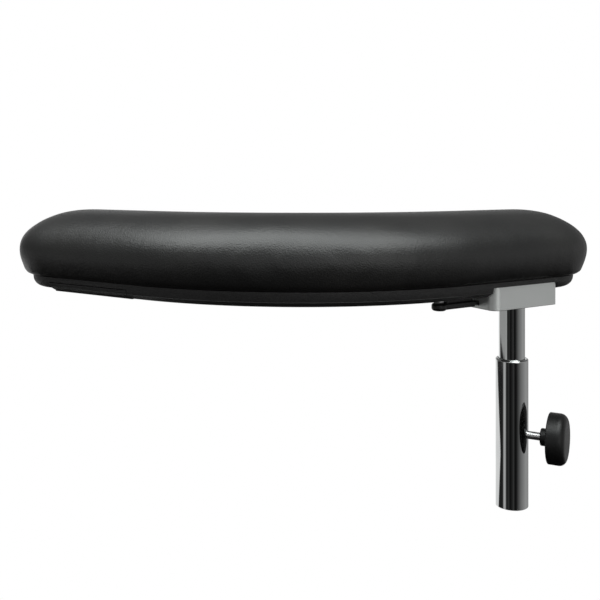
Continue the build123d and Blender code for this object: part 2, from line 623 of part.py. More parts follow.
def make_lever_grip():
    sleeve = span_box((GRIP_TIP_X, GRIP_START), (-GRIP_HALF_WIDTH, GRIP_HALF_WIDTH), (GRIP_BOTTOM, GRIP_TOP))
    sleeve = fillet(sleeve.edges().filter_by(Axis.X), GRIP_FILLET)
    tip = span_cylinder(GRIP_TIP_RADIUS, GRIP_TIP_BOTTOM, GRIP_TIP_TOP, x=GRIP_TIP_X)
    tip = fillet(tip.edges().filter_by(GeomType.CIRCLE), GRIP_TIP_FILLET)
    top = LEVER_BOTTOM + LEVER_THICKNESS
    bar = span_box((LEVER_BAR_END, GRIP_START), (-LEVER_HALF_WIDTH, LEVER_HALF_WIDTH), (LEVER_BOTTOM, top))
    rib_y = (-GRIP_RIB_HALF_WIDTH, GRIP_RIB_HALF_WIDTH)
    rib = span_box((GRIP_RIB_END, GRIP_START), rib_y, (GRIP_TOP - GRIP_FILLET, GRIP_RIB_TOP))
    rib += span_cylinder(GRIP_RIB_HALF_WIDTH, GRIP_TOP - GRIP_FILLET, GRIP_RIB_TOP, x=GRIP_RIB_END)
    return BRACKET_PLACE * (sleeve + tip + rib - bar)


# ---------------------------------------------------------------- under-shell
def shell_section():
    """Half section of the shell: a flat bottom, a bevel, a small bead and a slightly bulging side."""
    crease = (SHELL_CREASE_HALF_WIDTH, SHELL_CREASE_Z)
    top = (SHELL_TOP_HALF_WIDTH, SEAM_Z)
    bulge = ((crease[0] + top[0]) / 2 + SHELL_BULGE, (crease[1] + top[1]) / 2)
    outline = Polyline(
        top,
        (0, SEAM_Z),
        (0, SHELL_BOTTOM),
        (SHELL_BOTTOM_HALF_WIDTH, SHELL_BOTTOM),
        (SHELL_CREASE_HALF_WIDTH + SHELL_BEAD, SHELL_CREASE_Z - SHELL_BEAD),
        crease,
    )
    return make_face([*outline.edges(), ThreePointArc(crease, bulge, top)])


def shell_end_section():
    """Half section of the shell's ends, which rise a little and have a round lower edge."""
    bottom = SHELL_BOTTOM + SHELL_END_RISE
    side = SHELL_TOP_HALF_WIDTH - 0.3
    centre = (side - SHELL_END_RADIUS, bottom + SHELL_END_RADIUS)
    edges = [
        Line((0, bottom), (centre[0], bottom)),
        ThreePointArc((centre[0], bottom), on_circle(centre, SHELL_END_RADIUS, -45), (side, centre[1])),
        Line((side, centre[1]), (SHELL_TOP_HALF_WIDTH, SEAM_Z)),
        Line((SHELL_TOP_HALF_WIDTH, SEAM_Z), (0, SEAM_Z)),
        Line((0, SEAM_Z), (0, bottom)),
    ]
    return make_face(edges)


def shell_outline():
    """The shell's outer body."""
    return arm_body(shell_section(), shell_end_section(), PAST_RECESS)


def recess_block(grow, top):
    """Space of the bracket's recess in the right wing, open outwards and downwards."""
    return BRACKET_PLACE * span_box(
        (RECESS_START - grow, RECESS_END + grow),
        (-BEYOND, BRACKET_HALF_WIDTH + RECESS_SIDE_GAP + grow),
        (BRACKET_BOTTOM, top),
    )


def both_sides(shape):
    return shape + mirror(shape, about=SYMMETRY_PLANE)


def blank_screw_points():
    """Two screws through the blank cover, on the left wing."""
    places = [BRACKET_PLACE * Pos(x, 0, 0) for x in BLANK_SCREW_XS]
    return [(2 * SYMMETRY_PLANE.origin.X - place.position.X, place.position.Y) for place in places]


def bracket_screw_pads(radius):
    """Round pads on top of the shell, where the bracket's screws pull it up to the board."""
    pads = [span_cylinder(radius, SEAM_Z - 1, BOARD_BOTTOM, x, y) for x, y in BRACKET_SCREWS]
    return BRACKET_PLACE * Compound(pads)


def make_under_shell():
    outer = shell_outline()
    floor = SHELL_BOTTOM + SHELL_WALL
    room = band_section(SHELL_BOTTOM_HALF_WIDTH, floor, SEAM_Z + 1)
    end_room = band_section(SHELL_BOTTOM_HALF_WIDTH, floor + SHELL_END_RISE, SEAM_Z + 1)
    hollow = arm_body(room, end_room, PAST_RECESS)
    hollow -= both_sides(recess_block(RECESS_WALL, SEAM_Z + 2))
    rib = Box(RIB_THICKNESS, 2 * PAD_HALF_WIDTH, 2 * (SEAM_Z - SHELL_BOTTOM))
    for step in (-2, 0, 2):
        hollow -= arm_point(step * STAPLE_SPACING, 0) * Pos(0, 0, SEAM_Z) * rib
    for spot, _ in shell_screw_places():
        hollow -= span_cylinder(SHELL_BOSS_RADIUS, SHELL_BOTTOM, SEAM_Z + 2, spot.X, spot.Y)
    shell = outer - hollow - both_sides(recess_block(0.0, BRACKET_TOP))
    for spot, underside in shell_screw_places():
        shell += span_cylinder(SHELL_BOSS_RADIUS, SEAM_Z, BOARD_BOTTOM, spot.X, spot.Y)
        shell -= shell_screw_hole(underside, BOARD_BOTTOM, spot.X, spot.Y)
    shell += bracket_screw_pads(SHELL_PAD_RADIUS)
    for x, y in BRACKET_SCREWS:
        shell -= BRACKET_PLACE * span_cylinder(BRACKET_SCREW_HOLE_RADIUS, BRACKET_TOP, BOARD_BOTTOM, x, y)
    for x, y in blank_screw_points():
        shell -= span_cylinder(SHELL_SCREW_RADIUS, BRACKET_TOP, SEAM_Z, x, y)
    return shell - filler_screw_hole()


def shell_screw_hole(bottom, top, x, y):
    """Hole of one shell screw, countersunk from below."""
    neck_z = bottom + SHELL_SCREW_HEAD_RADIUS - SHELL_SCREW_RADIUS
    seat = span_cone(SHELL_SCREW_HEAD_RADIUS, SHELL_SCREW_RADIUS, bottom, neck_z, x, y)
    return seat + span_cylinder(SHELL_SCREW_RADIUS, bottom, top, x, y)


def make_shell_screws():
    screws = []
    for spot, underside in shell_screw_places():
        sizes = (SHELL_SCREW_RADIUS, SHELL_SCREW_HEAD_RADIUS, underside, BOARD_TOP - 2)
        screws.append(countersunk_screw(*sizes, spot.X, spot.Y))
    return Compound(screws)


def make_blank_cover():
    """Cover that closes the unused bracket recess in the left wing."""
    block = blank_block(BLANK_GAP)
    sole_half_width = SHELL_BOTTOM_HALF_WIDTH + RECESS_GAP
    sole = arm_body(band_section(sole_half_width, BLANK_BOTTOM, SHELL_BOTTOM + RECESS_GAP))
    cover = (arm_body(shell_section()) & block) + (sole & block)
    inner_half_width = SHELL_BOTTOM_HALF_WIDTH - BLANK_WALL
    inner = arm_body(band_section(inner_half_width, SHELL_BOTTOM + BLANK_WALL, BRACKET_TOP))
    cover -= inner & blank_block(BLANK_GAP + BLANK_END_WALL)
    cover = mirror(cover, about=SYMMETRY_PLANE)
    for x, y in blank_screw_points():
        cover += span_cylinder(SHELL_BOSS_RADIUS, SHELL_BOTTOM, BRACKET_TOP, x, y)
        cover -= shell_screw_hole(BLANK_BOTTOM, BRACKET_TOP, x, y)
    return cover


def blank_block(inset):
    """Space of the blank cover, drawn in from the recess by inset on three sides."""
    return BRACKET_PLACE * span_box(
        (RECESS_START + inset, RECESS_END - inset),
        (-BEYOND, BRACKET_HALF_WIDTH + RECESS_SIDE_GAP - inset),
        (BLANK_BOTTOM, BRACKET_TOP - BLANK_TOP_GAP),
    )


def make_blank_cover_screws():
    sizes = (SHELL_SCREW_RADIUS, SHELL_SCREW_HEAD_RADIUS, BLANK_BOTTOM, SEAM_Z - 0.2)
    return Compound([countersunk_screw(*sizes, x, y) for x, y in blank_screw_points()])


def filler_screw_hole():
    return BRACKET_PLACE * shell_screw_hole(SHELL_BOTTOM, SEAM_Z, FILLER_SCREW_X, 0)


def make_recess_filler():
    """Block flush with the shell that fills the right recess between its inner end and the bracket."""
    block = BRACKET_PLACE * span_box(
        (RECESS_START + FILLER_GAP, BRACKET_INNER_END - FILLER_BRACKET_GAP),
        (-BEYOND, BRACKET_HALF_WIDTH + RECESS_SIDE_GAP - FILLER_GAP),
        (SHELL_BOTTOM, BRACKET_TOP - FILLER_GAP),
    )
    return (shell_outline() & block) - filler_screw_hole()


def make_filler_screw():
    sizes = (SHELL_SCREW_RADIUS, SHELL_SCREW_HEAD_RADIUS, SHELL_BOTTOM, SEAM_Z - 0.2)
    return BRACKET_PLACE * countersunk_screw(*sizes, FILLER_SCREW_X, 0)


# ---------------------------------------------------------------- upholstered pad
def make_base_board():
    board = arm_body(band_section(BOARD_HALF_WIDTH, BOARD_BOTTOM, BOARD_TOP))
    for x, y in BRACKET_SCREWS:
        board -= BRACKET_PLACE * span_cylinder(T_NUT_BARREL_RADIUS, BOARD_BOTTOM, BOARD_TOP, x, y)
    for spot, _ in shell_screw_places():
        board -= span_cylinder(SHELL_SCREW_RADIUS, BOARD_BOTTOM, BOARD_TOP - 2, spot.X, spot.Y)
    return board


def make_foam_core():
    foam = arm_body(pad_section(SKIN))
    foam -= arm_body(band_section(BOARD_HALF_WIDTH, BOARD_BOTTOM - 1, BOARD_TOP))
    return foam - BRACKET_PLACE * Compound([t_nut_flange(x, y) for x, y in BRACKET_SCREWS])


def make_pad_cover():
    cover = arm_body(pad_section(0.0)) - arm_body(pad_section(SKIN))
    window = arm_body(band_section(HEM_INNER_HALF_WIDTH, SEAM_Z - SKIN, SEAM_Z + 2 * SKIN))
    return cover - window - bracket_screw_pads(SHELL_PAD_RADIUS + RECESS_GAP)


def staple(place):
    """Staple from below: its crown lies along the hem, its legs go up into the board."""
    half_wire = STAPLE_WIRE / 2
    leg_x = STAPLE_WIDTH / 2 - half_wire
    shape = Pos(0, 0, SEAM_Z - half_wire) * Box(STAPLE_WIDTH, STAPLE_WIRE, STAPLE_WIRE)
    for x in (-leg_x, leg_x):
        shape += Pos(x, 0, SEAM_Z + STAPLE_LEG / 2) * Box(STAPLE_WIRE, STAPLE_WIRE, STAPLE_LEG)
    return place * shape


def make_cover_staples():
    inner_count = int((ARC_LENGTH + WING_LENGTH) / STAPLE_SPACING)
    outer_count = int(ARC_LENGTH / STAPLE_SPACING) + 1
    staples = []
    for count, offset in ((inner_count, -HEM_STAPLE_OFFSET), (outer_count, HEM_STAPLE_OFFSET)):
        for step in range(-count, count):
            staples.append(staple(arm_point((step + 0.5) * STAPLE_SPACING, offset)))
    return Compound(staples)


# ---------------------------------------------------------------- write the parts
MAKERS = {
    "outer_tube": make_outer_tube,
    "inner_tube": make_inner_tube,
    "inner_tube_glide": make_inner_tube_glide,
    "post_head_plug": make_post_head_plug,
    "brake_drum": make_brake_drum,
    "drum_screw": make_drum_screw,
    "drum_dowel": make_drum_dowel,
    "clamp_pad": make_clamp_pad,
    "clamp_stud": make_clamp_stud,
    "knob_insert": make_knob_insert,
    "knob_body": make_knob_body,
    "bracket_housing": make_bracket_housing,
    "bracket_cover_plate": make_bracket_cover_plate,
    "cover_plate_screws": make_cover_plate_screws,
    "bracket_screws": make_bracket_screws,
    "t_nuts": make_t_nuts,
    "bracket_bush": make_bracket_bush,
    "thrust_washer": make_thrust_washer,
    "brake_lining": make_brake_lining,
    "brake_shoe": make_brake_shoe,
    "brake_spring": make_brake_spring,
    "lever_arm": make_lever_arm,
    "lever_pin": make_lever_pin,
    "crank_pin": make_crank_pin,
    "lever_grip": make_lever_grip,
    "under_shell": make_under_shell,
    "shell_screws": make_shell_screws,
    "blank_cover": make_blank_cover,
    "blank_cover_screws": make_blank_cover_screws,
    "recess_filler": make_recess_filler,
    "filler_screw": make_filler_screw,
    "base_board": make_base_board,
    "foam_core": make_foam_core,
    "pad_cover": make_pad_cover,
    "cover_staples": make_cover_staples,
}

os.makedirs("parts", exist_ok=True)
for node, make in MAKERS.items():
    export_step(make(), f"parts/{node}.step")
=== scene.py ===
import json
import math

import bmesh
import bpy
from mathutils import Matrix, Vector


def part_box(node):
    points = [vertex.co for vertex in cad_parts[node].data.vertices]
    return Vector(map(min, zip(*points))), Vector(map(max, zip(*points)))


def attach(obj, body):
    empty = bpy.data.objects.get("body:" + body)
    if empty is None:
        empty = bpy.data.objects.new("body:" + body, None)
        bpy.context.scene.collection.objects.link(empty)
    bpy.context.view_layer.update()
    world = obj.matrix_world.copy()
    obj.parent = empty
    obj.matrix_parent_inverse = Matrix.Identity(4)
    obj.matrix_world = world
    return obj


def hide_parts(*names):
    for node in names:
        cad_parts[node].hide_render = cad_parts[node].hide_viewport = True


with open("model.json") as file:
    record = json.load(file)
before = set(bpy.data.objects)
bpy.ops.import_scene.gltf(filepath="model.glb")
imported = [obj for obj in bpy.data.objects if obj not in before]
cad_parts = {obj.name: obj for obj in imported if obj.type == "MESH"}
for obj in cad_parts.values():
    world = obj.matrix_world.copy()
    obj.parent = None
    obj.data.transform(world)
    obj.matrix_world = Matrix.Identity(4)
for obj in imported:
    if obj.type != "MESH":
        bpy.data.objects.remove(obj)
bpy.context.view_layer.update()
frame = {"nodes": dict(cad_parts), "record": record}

# ---------------------------------------------------------------- sizes, in metres
ARC_RADIUS = 0.188
ARC_HALF_ANGLE = math.radians(31.5)
WING_LENGTH = 0.0922  # a little longer than the solid's, because smoothing draws the ends in

PAD_LOW, PAD_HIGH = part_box("pad_cover")
SEAM_Z = PAD_LOW.z
PAD_HEIGHT = PAD_HIGH.z - PAD_LOW.z
PAD_HALF_WIDTH = 0.050
PAD_WIDEST_Z = 0.0208
UNDERCUT_RADIUS = 0.022
FLANK_ANGLE = math.radians(32)
CROWN_SIDE_RADIUS = 0.016
CROWN_END_ANGLE = math.radians(88.0)
MIDDLE_X = (PAD_LOW.x + PAD_HIGH.x) / 2
APEX_Y = PAD_LOW.y + PAD_HALF_WIDTH
ARC_CENTRE_Y = APEX_Y + ARC_RADIUS


# ---------------------------------------------------------------- node helpers
class Nodes:
    """Short way to write a material's node tree."""

    def __init__(self, tree):
        self.tree = tree
        self.tree.nodes.clear()

    def add(self, kind, **settings):
        node = self.tree.nodes.new(kind)
        for name, value in settings.items():
            setattr(node, name, value)
        return node

    def link(self, source, target):
        self.tree.links.new(source, target)

    def feed(self, socket, value):
        """Link a socket to another, or set its value."""
        if isinstance(value, bpy.types.NodeSocket):
            self.link(value, socket)
        else:
            socket.default_value = value

    def math(self, operation, first, second=0.0):
        node = self.add("ShaderNodeMath", operation=operation)
        self.feed(node.inputs[0], first)
        self.feed(node.inputs[1], second)
        return node.outputs[0]

    def span(self, value, low, high, new_low, new_high, smooth=False):
        """Map a value from one range to another, held at the ends."""
        node = self.add("ShaderNodeMapRange", interpolation_type="SMOOTHSTEP" if smooth else "LINEAR")
        self.feed(node.inputs["Value"], value)
        limits = {"From Min": low, "From Max": high, "To Min": new_low, "To Max": new_high}
        for name, number in limits.items():
            self.feed(node.inputs[name], number)
        return node.outputs["Result"]

    def ramp(self, value, stops):
        """Grey colour ramp through the given (place, brightness) stops."""
        node = self.add("ShaderNodeValToRGB")
        elements = node.color_ramp.elements
        elements.remove(elements[-1])
        for index, (place, brightness) in enumerate(stops):
            stop = elements[0] if index == 0 else elements.new(place)
            stop.position = place
            stop.color = grey(brightness)
        self.link(value, node.inputs["Fac"])
        return node.outputs["Color"]

    def mix_colour(self, factor, first, second):
        node = self.add("ShaderNodeMix", data_type="RGBA")
        self.feed(node.inputs["Factor"], factor)
        self.feed(node.inputs["A"], first)
        self.feed(node.inputs["B"], second)
        return node.outputs["Result"]

    def place(self, stretch=(1.0, 1.0, 1.0)):
        """Object coordinates, stretched along each axis."""
        coordinates = self.add("ShaderNodeTexCoord").outputs["Object"]
        mapping = self.add("ShaderNodeMapping")
        mapping.inputs["Scale"].default_value = stretch
        self.link(coordinates, mapping.inputs["Vector"])
        return mapping.outputs["Vector"]

    def noise(self, place, scale, detail=3.0, roughness=0.5):
        node = self.add("ShaderNodeTexNoise")
        self.link(place, node.inputs["Vector"])
        node.inputs["Scale"].default_value = scale
        node.inputs["Detail"].default_value = detail
        node.inputs["Roughness"].default_value = roughness
        return node.outputs["Fac"]

    def cells(self, place, scale):
        node = self.add("ShaderNodeTexVoronoi", feature="F1")
        self.link(place, node.inputs["Vector"])
        node.inputs["Scale"].default_value = scale
        return node.outputs["Distance"]

    def bump(self, height, distance, strength=1.0, under=None):
        node = self.add("ShaderNodeBump")
        node.inputs["Distance"].default_value = distance
        node.inputs["Strength"].default_value = strength
        self.link(height, node.inputs["Height"])
        if under is not None:
            self.link(under, node.inputs["Normal"])
        return node.outputs["Normal"]


def grey(value, warm=0.0):
    return (value * (1 + warm), value, value * (1 - warm), 1.0)


def new_material(name, metallic, roughness, colour, normal=None, specular=0.5):
    """Principled material; roughness, colour and normal are values, or functions that make a socket."""
    material = bpy.data.materials.new(name)
    material.use_nodes = True
    nodes = Nodes(material.node_tree)
    shader = nodes.add("ShaderNodeBsdfPrincipled")
    output = nodes.add("ShaderNodeOutputMaterial")
    nodes.link(shader.outputs["BSDF"], output.inputs["Surface"])
    shader.inputs["Metallic"].default_value = metallic
    shader.inputs["Specular IOR Level"].default_value = specular
    for socket, maker in (("Roughness", roughness), ("Base Color", colour), ("Normal", normal)):
        if maker is not None:
            value = maker(nodes) if callable(maker) else maker
            nodes.feed(shader.inputs[socket], value)
    return material


# ---------------------------------------------------------------- materials
def upholstery():
    """Fine-grained black coated fabric: small pebbles, faint creases between them, uneven sheen."""
    def colour(nodes):
        patches = nodes.noise(nodes.place(), 14.0, 4.0)
        return nodes.mix_colour(nodes.span(patches, 0.35, 0.65, 0.0, 1.0), grey(0.012), grey(0.019, 0.03))

    def roughness(nodes):
        patches = nodes.noise(nodes.place(), 26.0, 5.0)
        return nodes.span(patches, 0.3, 0.7, 0.35, 0.42)

    def normal(nodes):
        place = nodes.place()
        pebbles = nodes.cells(place, 1000.0)
        pores = nodes.noise(place, 2600.0, 2.0)
        folds = nodes.noise(place, 480.0, 2.0)
        broad = nodes.bump(folds, 0.00012, 0.6)
        grain = nodes.bump(pebbles, 0.00012, 0.8, broad)
        return nodes.bump(pores, 0.00003, 0.5, grain)

    return new_material("black_upholstery", 0.0, roughness, colour, normal, specular=0.5)


def spark_plastic(name, tone, rough, grain_scale, grain_depth, gloss=0.5):
    """Moulded black plastic with a spark-eroded texture."""
    def colour(nodes):
        specks = nodes.noise(nodes.place(), grain_scale * 0.8, 2.0)
        return nodes.mix_colour(nodes.span(specks, 0.4, 0.62, 0.0, 1.0), grey(tone * 0.8), grey(tone * 1.35))

    def roughness(nodes):
        return nodes.span(nodes.noise(nodes.place(), 40.0, 4.0), 0.3, 0.7, rough - 0.04, rough + 0.05)

    def normal(nodes):
        place = nodes.place()
        pits = nodes.noise(place, grain_scale, 3.0, 0.65)
        return nodes.bump(pits, grain_depth, 0.8)

    return new_material(name, 0.0, roughness, colour, normal, specular=gloss)


def cast_aluminium():
    """Satin silver paint over a die casting, with faint orange peel and grain."""
    def colour(nodes):
        cloud = nodes.noise(nodes.place(), 55.0, 5.0)
        tone = nodes.span(cloud, 0.3, 0.7, 0.0, 1.0)
        return nodes.mix_colour(tone, (0.91, 0.94, 0.92, 1), (0.96, 0.98, 0.965, 1))

    def roughness(nodes):
        return nodes.span(nodes.noise(nodes.place(), 160.0, 4.0), 0.3, 0.7, 0.41, 0.46)

    def normal(nodes):
        place = nodes.place()
        peel = nodes.bump(nodes.noise(place, 420.0, 2.0), 0.00006, 0.5)
        return nodes.bump(nodes.noise(place, 2200.0, 2.0), 0.00003, 0.6, peel)

    return new_material("cast_aluminium", 1.0, roughness, colour, normal)


def chrome():
    """Polished chrome plate, with faint polishing lines along the tube and a few dull patches."""
    def colour(nodes):
        film = nodes.noise(nodes.place(), 30.0, 4.0)
        tone = nodes.span(film, 0.35, 0.7, 0.0, 1.0)
        return nodes.mix_colour(tone, (0.66, 0.675, 0.675, 1), (0.72, 0.73, 0.725, 1))

    def roughness(nodes):
        smears = nodes.noise(nodes.place(), 45.0, 5.0, 0.6)
        return nodes.span(smears, 0.45, 0.75, 0.035, 0.09)

    def normal(nodes):
        lines = nodes.noise(nodes.place((900.0, 900.0, 6.0)), 1.0, 2.0)
        return nodes.bump(lines, 0.000004, 0.5)

    return new_material("chrome_plate", 1.0, roughness, colour, normal)


def steel(name, tone, rough):
    """Machined or plated steel with fine turning marks."""
    def colour(nodes):
        return nodes.mix_colour(nodes.noise(nodes.place(), 120.0, 3.0), grey(tone * 0.85), grey(tone * 1.1))

    def roughness(nodes):
        return nodes.span(nodes.noise(nodes.place(), 300.0, 3.0), 0.3, 0.7, rough - 0.05, rough + 0.08)

    def normal(nodes):
        return nodes.bump(nodes.noise(nodes.place(), 2500.0, 2.0), 0.00001, 0.5)

    return new_material(name, 1.0, roughness, colour, normal)


def brass():
    def colour(nodes):
        tone = nodes.noise(nodes.place(), 150.0, 3.0)
        return nodes.mix_colour(tone, (0.55, 0.40, 0.16, 1), (0.66, 0.50, 0.22, 1))

    def roughness(nodes):
        return nodes.span(nodes.noise(nodes.place(), 300.0, 3.0), 0.3, 0.7, 0.25, 0.38)

    return new_material("brass", 1.0, roughness, colour)


def plywood():
    """Birch plywood: long grain on the faces."""
    def colour(nodes):
        grain = nodes.noise(nodes.place((12.0, 220.0, 220.0)), 1.0, 5.0, 0.6)
        tone = nodes.span(grain, 0.3, 0.7, 0.0, 1.0)
        return nodes.mix_colour(tone, (0.36, 0.24, 0.12, 1), (0.52, 0.38, 0.21, 1))

    def roughness(nodes):
        return nodes.span(nodes.noise(nodes.place(), 300.0, 3.0), 0.3, 0.7, 0.6, 0.75)

    return new_material("plywood", 0.0, roughness, colour)


def foam():
    """Open-cell foam."""
    def colour(nodes):
        tone = nodes.noise(nodes.place(), 700.0, 3.0)
        return nodes.mix_colour(tone, (0.45, 0.38, 0.2, 1), (0.62, 0.55, 0.34, 1))

    def normal(nodes):
        return nodes.bump(nodes.cells(nodes.place(), 900.0), 0.0004, 0.9)

    return new_material("foam", 0.0, 0.9, colour, normal, specular=0.2)


SLOT_MATERIALS = {
    "black_upholstery": upholstery(),
    "textured_plastic": spark_plastic("textured_plastic", 0.036, 0.50, 1500.0, 0.00022),
    "cast_aluminium": cast_aluminium(),
    "chrome_tube": chrome(),
    "grip_plastic": spark_plastic("grip_plastic", 0.010, 0.38, 2400.0, 0.00004),
    "knob_plastic": spark_plastic("knob_plastic", 0.008, 0.38, 2000.0, 0.00012, 0.34),
    "black_nylon": spark_plastic("black_nylon", 0.015, 0.45, 2600.0, 0.00003),
    "plain_steel": steel("plain_steel", 0.42, 0.32),
    "zinc_screw": steel("zinc_screw", 0.66, 0.28),
    "plywood": plywood(),
    "foam": foam(),
    "lining": spark_plastic("lining", 0.045, 0.8, 900.0, 0.0002),
    "brass": brass(),
}


def finish_cad_nodes():
    """Give every CAD node the material of its slot."""
    for part in frame["record"]["subparts"]:
        node = frame["nodes"][part["node"]]
        node.data.materials.clear()
        node.data.materials.append(SLOT_MATERIALS[part["material_slot"]])


# ---------------------------------------------------------------- mesh helpers
def mesh_object(name, points, faces):
    mesh = bpy.data.meshes.new(name)
    mesh.from_pydata([tuple(p) for p in points], [], faces)
    mesh.validate()
    for polygon in mesh.polygons:
        polygon.use_smooth = True
    obj = bpy.data.objects.new(name, mesh)
    bpy.context.scene.collection.objects.link(obj)
    return obj


def apply_modifiers(obj):
    """Turn the object's modifiers into its mesh."""
    depsgraph = bpy.context.evaluated_depsgraph_get()
    result = bpy.data.meshes.new_from_object(obj.evaluated_get(depsgraph), depsgraph=depsgraph)
    obj.modifiers.clear()
    obj.data = result


def dress(obj, slot, body):
    """Material, from its slot, and body of a new piece."""
    obj.data.materials.clear()
    obj.data.materials.append(SLOT_MATERIALS[slot])
    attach(obj, body)


# ---------------------------------------------------------------- pad
SIDE_STATIONS = 96
END_STEPS = 40
VOXEL = 0.004
FIRST_SMOOTH_ROUNDS = 6
FIRST_SMOOTH_ABOVE = 0.0035
PINNED_HEIGHT = 0.003
SWELL_PRESSURE = 4.0
SWELL_FRAMES = 20
SIDE_DRAW = 0.0013
CROWN_LIFT = 0.0013
SWELL_CAP = 0.0015
SMOOTH_ROUNDS = 40
SMOOTH_ABOVE = 0.0055
END_DROOP = 0.0008
DROOP_START = 0.165
DROOP_SPAN = 0.050
FOAM_GAP = 0.0035


def arm_frame(station):
    """Centreline point and outward direction at a signed distance from the arm's middle."""
    side = -1.0 if station < 0 else 1.0
    distance = abs(station)
    arc = ARC_RADIUS * ARC_HALF_ANGLE
    turn = min(distance, arc) / ARC_RADIUS
    x = ARC_RADIUS * math.sin(turn) + max(0.0, distance - arc) * math.cos(ARC_HALF_ANGLE)
    y = ARC_CENTRE_Y - ARC_RADIUS * math.cos(turn) + max(0.0, distance - arc) * math.sin(ARC_HALF_ANGLE)
    return Vector((MIDDLE_X + side * x, y, 0.0)), Vector((side * math.sin(turn), -math.cos(turn), 0.0))


def arm_ring(offset, height):
    """Closed line of points round the arm at one distance from its centreline."""
    reach = ARC_RADIUS * ARC_HALF_ANGLE + WING_LENGTH
    stations = [reach * (2 * i / (SIDE_STATIONS - 1) - 1) for i in range(SIDE_STATIONS)]
    front = []
    back = []
    for station in stations:
        point, outward = arm_frame(station)
        front.append(point + outward * offset + Vector((0, 0, height)))
        back.append(point - outward * offset + Vector((0, 0, height)))
    ends = []
    for station in (reach, -reach):
        point, outward = arm_frame(station)
        start = math.atan2(outward.y, outward.x) if station > 0 else math.atan2(-outward.y, -outward.x)
        arc = []
        for step in range(1, END_STEPS):
            angle = start + math.pi * step / END_STEPS
            away = Vector((math.cos(angle), math.sin(angle), 0))
            arc.append(point + away * offset + Vector((0, 0, height)))
        ends.append(arc)
    return front + ends[0] + list(reversed(back)) + ends[1]


def closed_arm(name, section):
    """Closed body whose section is a list of (distance from centreline, height), from below to above."""
    rings = [arm_ring(offset, height) for offset, height in section]
    size = len(rings[0])
    points = [point for ring in rings for point in ring]
    faces = []
    for level in range(len(rings) - 1):
        for i in range(size):
            j = (i + 1) % size
            faces.append((level * size + i, level * size + j, (level + 1) * size + j, (level + 1) * size + i))
    for level, flip in ((0, True), (len(rings) - 1, False)):
        base = level * size
        back_start = SIDE_STATIONS + END_STEPS - 1
        for i in range(SIDE_STATIONS - 1):
            far = back_start + SIDE_STATIONS - 1
            quad = (base + i, base + i + 1, base + far - i - 1, base + far - i)
            faces.append(quad[::-1] if flip else quad)
        right = [base + SIDE_STATIONS - 1 + k for k in range(END_STEPS + 1)]
        left = [base + back_start + SIDE_STATIONS - 1 + k for k in range(END_STEPS)] + [base]
        for loop in (right, left):
            faces.append(tuple(loop[::-1]) if flip else tuple(loop))
    return mesh_object(name, points, faces)


def arc_points(centre, radius, start, stop, count):
    """Points along an arc in the section, angles from outwards to up."""
    points = []
    for step in range(count + 1):
        angle = start + (stop - start) * step / count
        points.append((centre[0] + radius * math.cos(angle), centre[1] + radius * math.sin(angle)))
    return points


def pad_section(inset, height):
    """Section of the pad from its flat underside, up the flank, round the side and over the crown."""
    side_centre = (PAD_HALF_WIDTH - CROWN_SIDE_RADIUS, SEAM_Z + PAD_WIDEST_Z)
    rise = height - PAD_WIDEST_Z
    across = side_centre[0]
    top_radius = (across**2 + rise**2 - CROWN_SIDE_RADIUS**2) / (2 * (rise - CROWN_SIDE_RADIUS))
    top_centre = (0.0, SEAM_Z + height - top_radius)
    turn = math.atan2(side_centre[1] - top_centre[1], across)
    undercut_centre = (PAD_HALF_WIDTH - UNDERCUT_RADIUS, side_centre[1])
    side = arc_points(undercut_centre, UNDERCUT_RADIUS - inset, -FLANK_ANGLE, 0, 4)
    foot_z = SEAM_Z + max(inset, 0.0)
    foot_x = side[0][0] - (side[0][1] - foot_z) * math.tan(FLANK_ANGLE)
    under = [(foot_x * share, foot_z) for share in (0.06, 0.35, 0.65, 0.9, 1.0)]
    flank = [((foot_x + side[0][0]) / 2, (foot_z + side[0][1]) / 2)]
    crown = arc_points(side_centre, CROWN_SIDE_RADIUS - inset, 0, turn, 6)[1:]
    top = arc_points(top_centre, top_radius - inset, turn, CROWN_END_ANGLE, 14)[1:]
    return under + flank + side + crown + top


def remesh(obj):
    """Even mesh of small quads, with its steps smoothed away."""
    modifier = obj.modifiers.new("even_mesh", "REMESH")
    modifier.mode = "VOXEL"
    modifier.voxel_size = VOXEL
    modifier.use_smooth_shade = True
    apply_modifiers(obj)
    even_out(obj, FIRST_SMOOTH_ROUNDS, SEAM_Z + FIRST_SMOOTH_ABOVE)


def even_out(obj, rounds, above):
    """Smooth away small bumps above a height, so that the seam line stays where it is."""
    free = obj.vertex_groups.new(name="free")
    free.add([vertex.index for vertex in obj.data.vertices if vertex.co.z > above], 1.0, "REPLACE")
    smooth = obj.modifiers.new("even_out", "SMOOTH")
    smooth.factor = 0.5
    smooth.iterations = rounds
    smooth.vertex_group = "free"
    apply_modifiers(obj)
    obj.vertex_groups.clear()


def droop_ends(obj, depth):
    """Lower the crown a little towards both ends of the arm."""
    for vertex in obj.data.vertices:
        far = min(1.0, max(0.0, (abs(vertex.co.x - MIDDLE_X) - DROOP_START) / DROOP_SPAN))
        high = min(1.0, max(0.0, (vertex.co.z - SEAM_Z - PAD_WIDEST_Z) / (PAD_HEIGHT - PAD_WIDEST_Z)))
        vertex.co.z -= depth * far * far * (3 - 2 * far) * high


